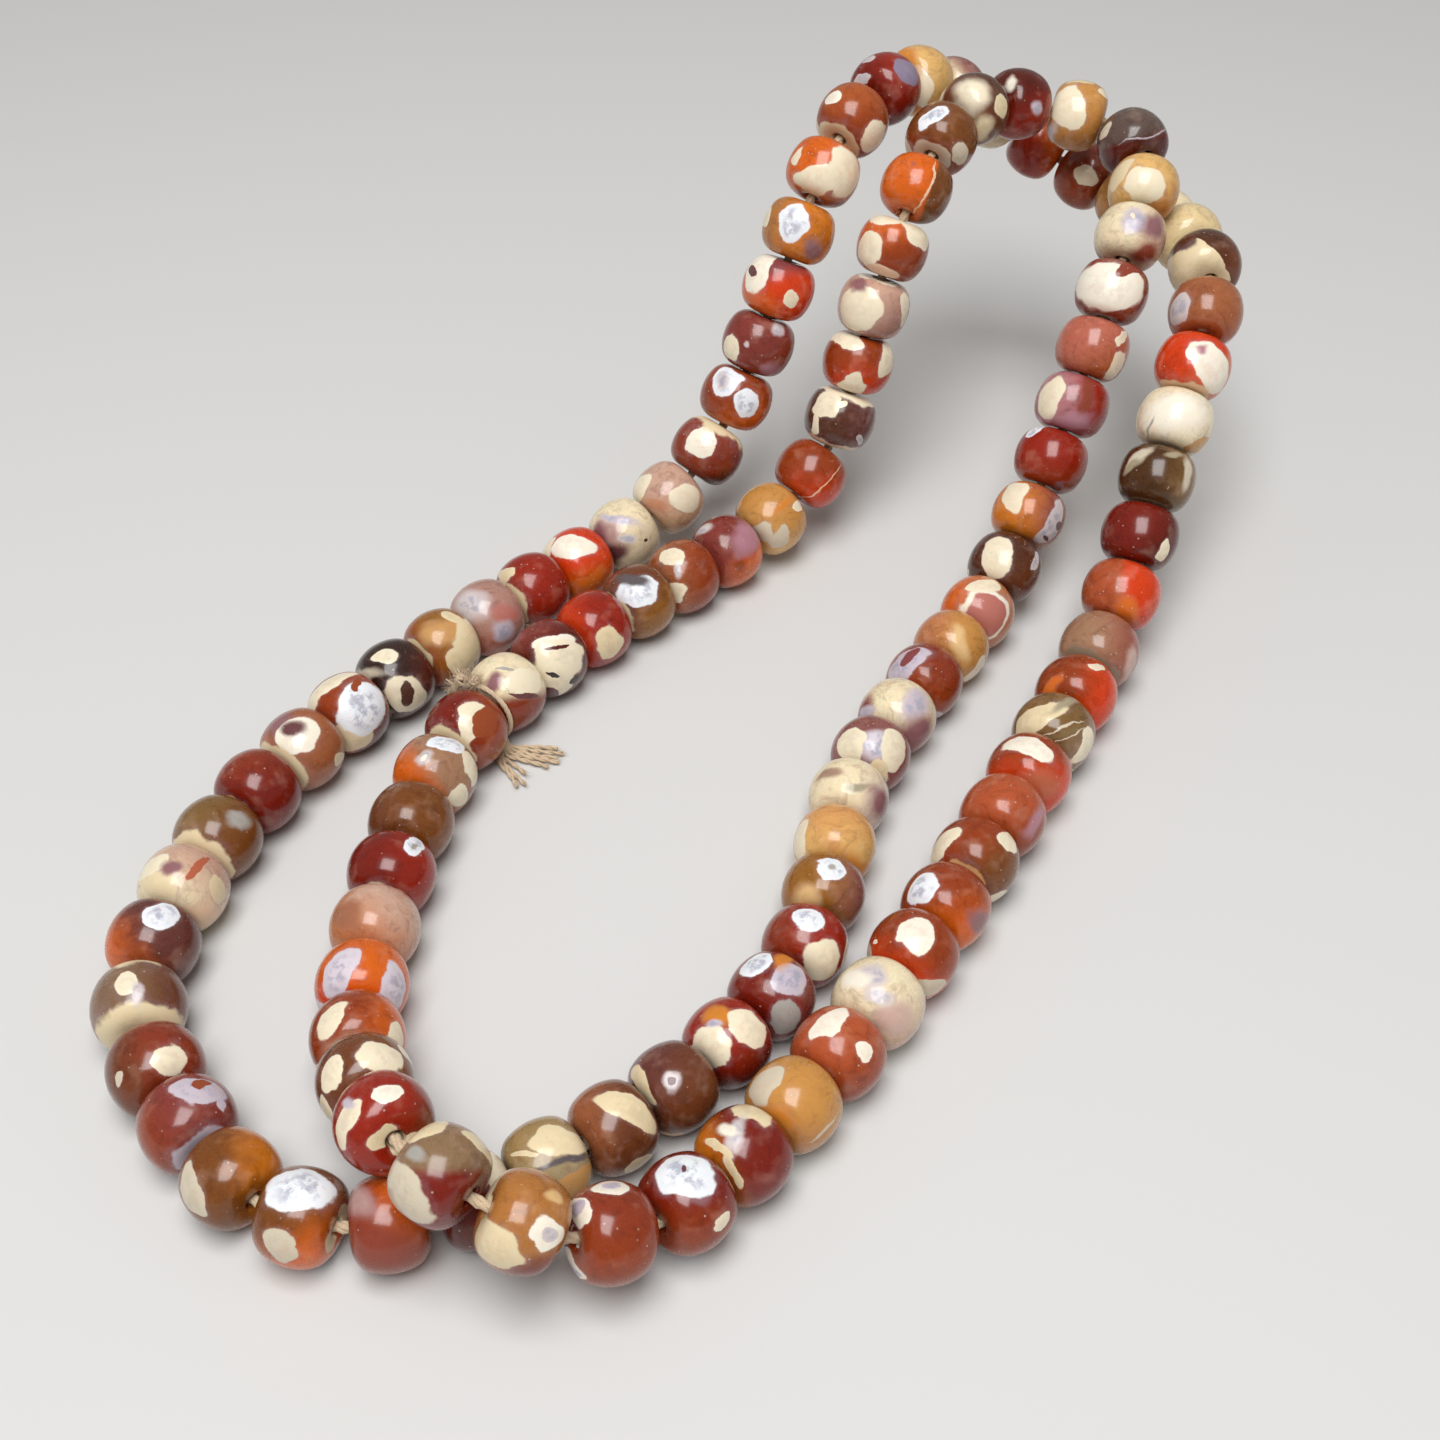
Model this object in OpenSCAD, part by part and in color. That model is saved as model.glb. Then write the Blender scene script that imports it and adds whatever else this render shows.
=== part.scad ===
// A long loop of 108 etched agate beads, worn round the neck in two turns.
// It is shown draped: one end hangs over a low rest, the other lies on the ground.
// X points right, Y away from the viewer, Z up; the origin is where the drape rests.

/* [Beads] */
// Number of beads on the loop
bead_count = 108; // [96:1:120]
// Diameter of a bead across its belly
bead_d = 10.5; // [9.6:0.1:10.6]
// Length of a bead along its hole
bead_l = 8.1; // [7.6:0.05:8.8]
// Radius of the arc along the belly
belly_r = 6.2; // [5.6:0.1:7]
// Radius of the arc at the shoulders
shoulder_r = 2.6; // [2.2:0.1:3]
// Diameter of the drilled hole
hole_d = 2.2; // [1.7:0.1:2.6]
// Clear way between two beads where they come nearest
bead_gap = 0.15; // [0.13:0.01:0.3]

/* [Thread] */
// Diameter of the bundle of cotton strands inside the beads
thread_d = 1.4; // [1:0.1:1.5]
// Sides of the thread's section
thread_sides = 8; // [6:1:12]

/* [Knot] */
// Number of the bead that the knot follows
knot_bead = 67; // [60:1:74]
// Thickness of the strand that wraps the groove
wrap_d = 0.7; // [0.5:0.05:0.9]
// Thickness of the frayed lump of the knot
lump_d = 1.9; // [1.4:0.1:2.2]
// Thickness of one cut end
end_d = 0.7; // [0.5:0.05:0.8]
// Length of the longest cut end along the ground
end_l = 7.2; // [4:0.2:8]
// How far along the string the cut ends spread under the bead before they fan
spread_l = 3.2; // [0:0.2:3.6]
// Clear way from the knot to the beads and the ground
knot_gap = 0.28; // [0.2:0.01:0.35]

/* [Hidden] */
$fn = 48;

// Route of the loop: from the front crossing up the left arm, over the rest and back,
// then once more inside it; the second turn crosses over the first at the front
route = [
    [-66, -153.5, -41.5], [-83.5, -152.5, -41.5], [-96.5, -138, -41.5], [-103, -123, -41.5],
    [-95, -93, -41.5], [-75, -65.5, -41.5], [-54, -44, -41.5], [-38.5, -30.5, -33.5],
    [-28.5, -20, -12], [-22, -11.5, 2.5], [-13, 2, 8], [-2, 14, 2],
    [12, 17.5, -8], [25.5, 7, -12.5], [31.5, -9, -10], [32, -26, -10.5],
    [24, -45.5, -25.5], [15, -66, -41], [-2, -97.5, -41.5], [-19.5, -127, -41.5],
    [-35, -147, -41.5], [-49, -158.5, -38.5], [-65.5, -155, -30.5], [-74, -141, -36.5],
    [-77.5, -123, -41.5], [-73, -89.5, -41.5], [-59.5, -67, -41.5], [-34, -42.5, -41.5],
    [-21, -30.5, -33], [-15, -22.5, -13.5], [-9, -14.5, 1], [0, 1, 5.7],
    [16, 8, 0.5], [25.5, -2.5, 0.5], [19.5, -21.5, -9.5], [11, -37, -28.5],
    [0, -56.5, -41.5], [-20, -91, -41.5], [-26.5, -117, -41.5], [-41, -137, -41.5]];

// How the beads' size changes along the loop: [share of the loop, share of the named size]
bead_sizes = [
    [0, 0.965], [0.04, 1.025], [0.15, 1.015], [0.22, 1], [0.31, 0.97], [0.39, 1.04],
    [0.47, 1.005], [0.53, 0.975], [0.57, 1.02], [0.67, 1.01], [0.74, 0.985],
    [0.8, 0.98], [0.83, 1.01], [0.87, 0.985], [0.94, 0.96], [1, 0.965]];

// Steps along each arc of a bead's outline
arc_steps = 4;
// Share of the loop that the first turn takes
first_turn = 0.528;
// Rounds of halving that smooth the route, and rounds that settle the spacing
smooth_rounds = 4;
spacing_rounds = 6;
stone_tints = ["firebrick", "saddlebrown", "linen", "sienna", "rosybrown", "indianred", "tan"];

function unit(v) = v / norm(v);
function around(list, i) = list[(i + len(list)) % len(list)];
function add_up(list) = [for (i = 0, total = 0; i <= len(list);
    total = total + (i < len(list) ? list[i] : 0), i = i + 1) total];

// Each round keeps the points and adds one on a smooth arc between each two
function smooth(p, rounds) = rounds < 1 ? p : smooth([for (i = [0 : len(p) - 1]) each [
    p[i], (9 * (p[i] + around(p, i + 1)) - around(p, i - 1) - around(p, i + 2)) / 16]], rounds - 1);

// Nothing dips below the beads that lie on the ground
lowest = min([for (p = route) p.z]);
track = [for (p = smooth(route, smooth_rounds)) [p.x, p.y, max(p.z, lowest)]];
track_steps = [for (i = [0 : len(track) - 1]) norm(around(track, i + 1) - track[i])];
track_marks = add_up(track_steps);
track_l = track_marks[len(track)];
track_x = [for (i = [0 : len(track)]) [track_marks[i], around(track, i).x]];
track_y = [for (i = [0 : len(track)]) [track_marks[i], around(track, i).y]];
track_z = [for (i = [0 : len(track)]) [track_marks[i], around(track, i).z]];
function on_track(u) = [lookup(u, track_x), lookup(u, track_y), lookup(u, track_z)];

// A bead's outline: a belly arc, two shoulder arcs tangent to it, and a small flat at each end
shoulder_x = bead_d / 2 - belly_r + sqrt(pow(belly_r - shoulder_r, 2) - pow(bead_l / 2 - shoulder_r, 2));
belly_turn = asin((bead_l / 2 - shoulder_r) / (belly_r - shoulder_r));
function arc(middle, r, from, to, steps) =
    [for (k = [0 : steps]) let (turn = from + (to - from) * k / steps) middle + r * [cos(turn), sin(turn)]];
half_outline = concat(
    arc([bead_d / 2 - belly_r, 0], belly_r, 0, belly_turn, arc_steps),
    arc([shoulder_x, bead_l / 2 - shoulder_r], shoulder_r, belly_turn + (90 - belly_turn) / arc_steps, 90,
        arc_steps - 1));
function bead_size(i) = lookup((i + 0.5) / bead_count, bead_sizes);

// Two beads in a bend meet at the rims of their flats, so a bend needs more room on the string
function joint_room(bend) =
    (bead_gap + 2 * shoulder_x * sin(bend / 2) + 2 * shoulder_r * (1 - cos(bend / 2))) / cos(bend / 2);
function chords(ends) = [for (i = [0 : len(ends) - 1]) around(ends, i + 1) - ends[i]];
function rooms(ends) = let (axes = [for (c = chords(ends)) unit(c)])
    [for (i = [0 : len(ends) - 1]) joint_room(acos(min(1, axes[i] * around(axes, i - 1))))];
function needs(ends) = let (room = rooms(ends))
    [for (i = [0 : len(ends) - 1]) bead_l * bead_size(i) + (room[i] + around(room, i + 1)) / 2];

// The steps along the route change until each bead has the room that it needs
function placed(steps) = let (marks = add_up(steps))
    [for (i = [0 : len(steps) - 1]) on_track(marks[i] * track_l / marks[len(steps)])];
function settled(steps, rounds) = rounds < 1 ? placed(steps) :
    let (ends = placed(steps), need = needs(ends), span = chords(ends))
    settled([for (i = [0 : len(steps) - 1]) steps[i] * need[i] / norm(span[i])], rounds - 1);

// The loop is as long as its beads need, so the route is drawn larger or smaller to fit
first_ends = settled([for (i = [0 : bead_count - 1]) bead_size(i)], spacing_rounds);
string_l = add_up(needs(first_ends))[bead_count];
loop_scale = string_l / add_up([for (c = chords(first_ends)) norm(c)])[bead_count];
ground_z = lowest * loop_scale - bead_d / 2;
// A larger bead lies higher, so that each rests on the ground
ends = [for (i = [0 : bead_count - 1])
    first_ends[i] * loop_scale + [0, 0, bead_d / 2 * (lookup(i / bead_count, bead_sizes) - 1)]];
axes = [for (c = chords(ends)) unit(c)];
room = rooms(ends);
middles = [for (i = [0 : bead_count - 1]) ends[i] + axes[i] * (room[i] + bead_l * bead_size(i)) / 2];

// The knot fills the groove between two beads: how far out a round strand seats there
function groove_seat(d) = shoulder_x
    + sqrt(pow(shoulder_r + d / 2 + knot_gap, 2) - pow(shoulder_r + bead_gap / 2, 2));
// Lumps of the knot: [turn about the string from its left side upwards, share of the lump's thickness]
lumps = [[26, 0.75], [50, 1], [76, 0.8]];
// Cut ends: [turn along the ground from square to the string, share of the longest end,
// share of the spread along the string]
cut_ends = [
    [26, 0.82, -0.06], [23, 0.97, 0.09], [19, 0.9, 0.25], [17, 1, 0.41],
    [11, 0.86, 0.56], [-12, 0.6, 0.72], [-21, 0.8, 0.85], [-27, 0.74, 1]];
// Facets of the knot's fine strands and of its wrap
strand_fn = 12;
knot_fn = 32;
// The ends leave the wrap at this turn down from its right side
end_leave = 48;
// They leave the wrap and reach the ground at these shares of their spread along the string,
// and run this far out before they fan
leave_share = 0.04;
knee_share = 0.4;
end_out = 0.5;

module bead_outline(size) {
    end_y = bead_l / 2 * size;
    upper = [for (p = half_outline) p * size];
    lower = [for (k = [len(upper) - 1 : -1 : 1]) [upper[k].x, -upper[k].y]];
    polygon(concat([[hole_d / 2, -end_y]], lower, upper, [[hole_d / 2, end_y]]));
}

module bead(i) {
    translate(middles[i])
        rotate([0, acos(axes[i].z), atan2(axes[i].y, axes[i].x)])
            rotate_extrude() bead_outline(bead_size(i));
}

module beads(from, to) {
    for (i = [from : to])
        color(stone_tints[i % len(stone_tints)]) bead(i);
}

module beads_first_turn() {
    beads(0, round(bead_count * first_turn) - 1);
}

module beads_second_turn() {
    beads(round(bead_count * first_turn), bead_count - 1);
}

// The strands inside the beads, with one ring of points at each joint between two beads
function thread_ring(i) =
    let (along = unit(axes[i] + around(axes, i - 1)))
    let (left = unit(cross([0, 0, 1], along)), up = cross(along, left))
    [for (k = [0 : thread_sides - 1])
        let (turn = 360 * k / thread_sides) ends[i] + thread_d / 2 * (cos(turn) * left + sin(turn) * up)];
function thread_face(i, k) =
    let (here = i * thread_sides, next = (i + 1) % bead_count * thread_sides)
    let (beside = (k + 1) % thread_sides)
    [here + k, here + beside, next + beside, next + k];

module thread() {
    color("wheat")
        polyhedron(
            points = [for (i = [0 : bead_count - 1]) each thread_ring(i)],
            faces = [for (i = [0 : bead_count - 1], k = [0 : thread_sides - 1]) thread_face(i, k)]);
}

// A round strand with round ends, from one point to another
module strand(from, to) {
    hull()
        for (p = [from, to])
            translate(p) sphere(d = end_d, $fn = strand_fn);
}

// Drawn with Z along the string, X down and Y to its left
module knot_tuft() {
    along = unit(axes[knot_bead] + axes[knot_bead - 1]);
    ground_x = ends[knot_bead].z - ground_z - end_d / 2 - knot_gap;
    wrap_r = groove_seat(wrap_d);
    color("burlywood")
        translate(ends[knot_bead])
            rotate([0, acos(along.z), atan2(along.y, along.x)]) {
                rotate_extrude($fn = knot_fn) translate([wrap_r, 0]) circle(d = wrap_d, $fn = strand_fn);
                for (lump = lumps)
                    rotate([0, 0, 90 + lump[0]])
                        translate([groove_seat(lump_d * lump[1]), 0, 0])
                            sphere(d = lump_d * lump[1], $fn = strand_fn);
                for (cut = cut_ends) {
                    leave = [wrap_r * sin(end_leave), -wrap_r * cos(end_leave), -spread_l * cut[2] * leave_share];
                    knee = [ground_x, leave.y - end_d, -spread_l * cut[2] * knee_share];
                    fan = [ground_x, knee.y - end_out, -spread_l * cut[2]];
                    strand(leave, knee);
                    strand(knee, fan);
                    strand(fan, fan + end_l * cut[1] * [0, -cos(cut[0]), sin(cut[0])]);
                }
            }
}

beads_first_turn();
beads_second_turn();
thread();
knot_tuft();
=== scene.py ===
# %% [markdown]
# # A loop of etched agate beads
#
# The object is a closed string of 108 drilled agate beads on a cotton thread, worn round the neck in two
# turns. The CAD model already holds every bead at its real place and size. This lesson gives the beads
# their stone, their etched marks and their polish, and makes the thread, the knot and its cut ends out of
# twisted strands.

# %% Tools, frame and box
import math
import random

import bmesh
import bpy
import numpy as np
from mathutils import Matrix, Vector, noise


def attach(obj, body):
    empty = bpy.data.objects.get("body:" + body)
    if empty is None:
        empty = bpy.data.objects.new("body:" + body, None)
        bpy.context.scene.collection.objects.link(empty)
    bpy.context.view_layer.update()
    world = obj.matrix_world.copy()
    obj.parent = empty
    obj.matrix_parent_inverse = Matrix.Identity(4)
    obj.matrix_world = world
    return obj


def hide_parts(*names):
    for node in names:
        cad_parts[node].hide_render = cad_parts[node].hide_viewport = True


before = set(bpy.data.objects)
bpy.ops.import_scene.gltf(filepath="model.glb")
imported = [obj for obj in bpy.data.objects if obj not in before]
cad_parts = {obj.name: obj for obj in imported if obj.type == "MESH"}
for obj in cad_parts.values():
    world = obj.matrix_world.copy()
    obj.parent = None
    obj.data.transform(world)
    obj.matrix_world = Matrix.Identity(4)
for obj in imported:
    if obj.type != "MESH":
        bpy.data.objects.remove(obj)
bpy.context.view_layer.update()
scene = bpy.context.scene
MM = 0.001
print("CAD nodes:", ", ".join(sorted(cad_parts)))

# %% [markdown]
# ## The camera
#
# The eye stands in front of the lying end of the necklace and looks down at 43 degrees. It is made first,
# because the marks on the beads are charted as they are seen from it.

# %% Camera
EYE = Vector((-37, -254.33, 121.46)) * MM
LOOKS_DOWN = math.radians(43.07)
LENS_MM = 45.63

camera = bpy.data.objects.new("camera", bpy.data.cameras.new("camera"))
scene.collection.objects.link(camera)
camera.location = EYE
camera.rotation_euler = (math.pi / 2 - LOOKS_DOWN, 0, 0)
camera.data.lens = LENS_MM
camera.data.clip_start = 1 * MM
scene.camera = camera
print("camera at", [round(c, 4) for c in EYE])

# %% [markdown]
# ## The route of the string
#
# The CAD model chooses 40 round points, draws a smooth closed track through them and spaces the
# beads along it, so that each has the room that it needs in its bend. The same steps are repeated here with
# arrays, because the chart below gives each bead its own marks by its number along the string.

# %% Sizes of the beads, in millimetres
BEADS = 108
FIRST_TURN = 57
BEAD_D = 10.5
BEAD_L = 8.1
BELLY_R = 6.2
SHOULDER_R = 2.6
HOLE_D = 2.2
BEAD_GAP = 0.15
THREAD_D = 1.4
BEAD_SIZES = [
    (0, 0.965), (0.04, 1.025), (0.15, 1.015), (0.22, 1), (0.31, 0.97), (0.39, 1.04),
    (0.47, 1.005), (0.53, 0.975), (0.57, 1.02), (0.67, 1.01), (0.74, 0.985),
    (0.8, 0.98), (0.83, 1.01), (0.87, 0.985), (0.94, 0.96), (1, 0.965)]
SHOULDER_X = BEAD_D / 2 - BELLY_R + math.sqrt((BELLY_R - SHOULDER_R) ** 2 - (BEAD_L / 2 - SHOULDER_R) ** 2)

# %% Route of the string, in millimetres
ROUTE = np.array([
    [-66, -153.5, -41.5], [-83.5, -152.5, -41.5], [-96.5, -138, -41.5], [-103, -123, -41.5],
    [-95, -93, -41.5], [-75, -65.5, -41.5], [-54, -44, -41.5], [-38.5, -30.5, -33.5],
    [-28.5, -20, -12], [-22, -11.5, 2.5], [-13, 2, 8], [-2, 14, 2],
    [12, 17.5, -8], [25.5, 7, -12.5], [31.5, -9, -10], [32, -26, -10.5],
    [24, -45.5, -25.5], [15, -66, -41], [-2, -97.5, -41.5], [-19.5, -127, -41.5],
    [-35, -147, -41.5], [-49, -158.5, -38.5], [-65.5, -155, -30.5], [-74, -141, -36.5],
    [-77.5, -123, -41.5], [-73, -89.5, -41.5], [-59.5, -67, -41.5], [-34, -42.5, -41.5],
    [-21, -30.5, -33], [-15, -22.5, -13.5], [-9, -14.5, 1], [0, 1, 5.7],
    [16, 8, 0.5], [25.5, -2.5, 0.5], [19.5, -21.5, -9.5], [11, -37, -28.5],
    [0, -56.5, -41.5], [-20, -91, -41.5], [-26.5, -117, -41.5], [-41, -137, -41.5]], float)
SMOOTH_ROUNDS = 4
SPACING_ROUNDS = 6
LOWEST = ROUTE[:, 2].min()


def lengths(vectors):
    return np.linalg.norm(vectors, axis=1)


def smooth(points):
    """Keeps the points and adds one between each two, by the four-point rule for smooth arcs."""
    before, after, beyond = (np.roll(points, step, axis=0) for step in (1, -1, -2))
    between = (9 * (points + after) - before - beyond) / 16
    return np.stack([points, between], axis=1).reshape(-1, 3)


track = ROUTE
for _ in range(SMOOTH_ROUNDS):
    track = smooth(track)
track[:, 2] = np.maximum(track[:, 2], LOWEST)
track_marks = np.concatenate([[0], np.cumsum(lengths(np.roll(track, -1, axis=0) - track))])
closed_track = np.vstack([track, track[:1]])
print("track", round(track_marks[-1], 1), "mm round")


# %% Spacing of the beads
def bead_size(share):
    return np.interp(share, [s for s, _ in BEAD_SIZES], [size for _, size in BEAD_SIZES])


def joint_room(bend):
    """The room on the string that two beads need where it bends by this angle."""
    half = bend / 2
    rims = 2 * SHOULDER_X * np.sin(half) + 2 * SHOULDER_R * (1 - np.cos(half))
    return (BEAD_GAP + rims) / np.cos(half)


def rooms(ends):
    axes = np.roll(ends, -1, axis=0) - ends
    axes = axes / lengths(axes)[:, None]
    cosines = np.sum(axes * np.roll(axes, 1, axis=0), axis=1)
    return joint_room(np.arccos(np.minimum(1, cosines)))


numbers = np.arange(BEADS)
sizes = bead_size((numbers + 0.5) / BEADS)
steps = sizes.copy()
for _ in range(SPACING_ROUNDS + 1):
    places = np.concatenate([[0], np.cumsum(steps)])[:-1] * track_marks[-1] / steps.sum()
    ends = np.stack([np.interp(places, track_marks, closed_track[:, k]) for k in range(3)], axis=1)
    room = rooms(ends)
    need = BEAD_L * sizes + (room + np.roll(room, -1)) / 2
    chords = lengths(np.roll(ends, -1, axis=0) - ends)
    steps = steps * need / chords
loop_scale = need.sum() / chords.sum()
ends = ends * loop_scale
ends[:, 2] += BEAD_D / 2 * (bead_size(numbers / BEADS) - 1)
axes = np.roll(ends, -1, axis=0) - ends
axes = axes / lengths(axes)[:, None]
room = rooms(ends)
middles = ends + axes * ((room + BEAD_L * sizes) / 2)[:, None]
GROUND_Z = LOWEST * loop_scale - BEAD_D / 2
print("string", round(need.sum(), 1), "mm round; ground at", round(GROUND_Z, 2), "mm")

# %% [markdown]
# ## The shape of a bead
#
# Each bead was ground by hand into a barrel: one arc round the belly, a tighter one over each shoulder and
# a small flat at each end, where the hole opens. The outline is drawn once and spun about the hole with
# bmesh. The hand grinding is put in last: every bead gets its own shallow unevenness, always inwards, so
# that it stays inside the CAD solid and clear of its neighbours.

# %% Outline of a bead
BELLY_STEPS = 5
SHOULDER_STEPS = 7
RIM_STEPS = 2
SPIN_STEPS = 40
RIM_R = 0.3
UNEVEN = 0.022
UNEVEN_SCALE = 0.9
NOISE_STEP = Vector((7.3, 1.7, 3.1))


def arc(middle, radius, start, stop, count):
    turns = np.linspace(start, stop, count + 1)
    return [(middle[0] + radius * math.cos(t), middle[1] + radius * math.sin(t)) for t in turns]


def half_outline():
    """From the belly to the hole: (distance from the hole's line, distance along it), in millimetres."""
    end = BEAD_L / 2
    hole = HOLE_D / 2
    belly_turn = math.asin((end - SHOULDER_R) / (BELLY_R - SHOULDER_R))
    belly = arc((BEAD_D / 2 - BELLY_R, 0), BELLY_R, 0, belly_turn, BELLY_STEPS)
    shoulder = arc((SHOULDER_X, end - SHOULDER_R), SHOULDER_R, belly_turn, math.pi / 2, SHOULDER_STEPS)
    rim = arc((hole + RIM_R, end - RIM_R), RIM_R, math.pi / 2, math.pi, RIM_STEPS)
    return belly + shoulder[1:] + rim


def bead_mesh():
    """One bead with its middle at the origin and its hole along Z, in millimetres."""
    upper = half_outline()
    lower = [(x, -z) for x, z in reversed(upper[1:])]
    bead = bmesh.new()
    verts = [bead.verts.new((x, 0, z)) for x, z in lower + upper]
    edges = [bead.edges.new((verts[k - 1], verts[k])) for k in range(len(verts))]
    bmesh.ops.spin(bead, geom=verts + edges, cent=(0, 0, 0), axis=(0, 0, 1), dvec=(0, 0, 0),
                   angle=math.tau, steps=SPIN_STEPS, use_merge=True, use_duplicate=False)
    bmesh.ops.recalc_face_normals(bead, faces=bead.faces)
    mesh = bpy.data.meshes.new("bead_pattern")
    bead.to_mesh(mesh)
    bead.free()
    return mesh


pattern = bead_mesh()
BEAD_POINTS = len(pattern.vertices)
print("one bead:", BEAD_POINTS, "points,", len(pattern.polygons), "faces")

# %% [markdown]
# ## The chart of the marks
#
# No two beads are alike. The stone is dyed agate, from oxblood red to smoky grey, often two colours that
# melt into each other, and white marks are etched on it: spots, rings and bands. The chart was made bead
# by bead, looking from the camera. Each line is one bead, and a backslash carries it on to the
# next line. It says
#
# - the stone, and if it has one the second stone (partly the agate's own dye and partly a painted glow of
#   light seen through the stone, mostly towards its lower rim), the direction in which it lies in degrees,
#   where the change lies in bead radii, and how sharp it is;
# - then the marks, in the order in which they are painted: a tone, the middle to the right and up, the half
#   widths along and across, all in bead radii, and the turn in degrees. A tone with ~ has a soft edge. A
#   mark at the hole is a tone, the end towards the next or the last bead, and its radius.

# %% Colours of the stones and the marks
PALETTE = {
    "maroon": "521a15", "oxblood": "73201a", "cherry": "8f261a", "scarlet": "cc421a", "ember": "cf6620",
    "amber": "c87a2a", "rust": "8d3f20", "sienna": "a35833", "brick": "83392a", "coral": "ab573e",
    "brown": "69402f", "chocolate": "50322a", "umber": "724826", "bronze": "91662f", "olive": "776041",
    "peat": "49331f", "smoke": "7a6558", "slate": "595055", "plum": "613a3e", "wine": "7d3c3f",
    "mauve": "875b62", "rosewood": "925452", "orchid": "a87685", "clay": "9a624a", "fawn": "9c7c6c",
    "heather": "a98684", "blush": "c2a298", "salmon": "bb7f62", "peach": "cf9c6b", "honey": "d8b27c",
    "caramel": "a97648", "tan": "c08f58", "khaki": "988461", "taupe": "84705f",
    "white": "ece4d4", "milk": "e4e7ec", "opal": "cfc5cf", "ivory": "e6dac0", "cream": "dccaa6",
    "bone": "cbbfab", "shell": "e0bd9f", "rose": "b26a62", "dove": "c8bcbd", "lilac": "c0b4c0",
    "violet": "82748c", "fog": "a09d99", "greige": "9f937b", "ink": "33272a"}
CLOUDED = ("milk", "opal", "lilac", "dove", "violet")
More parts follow.
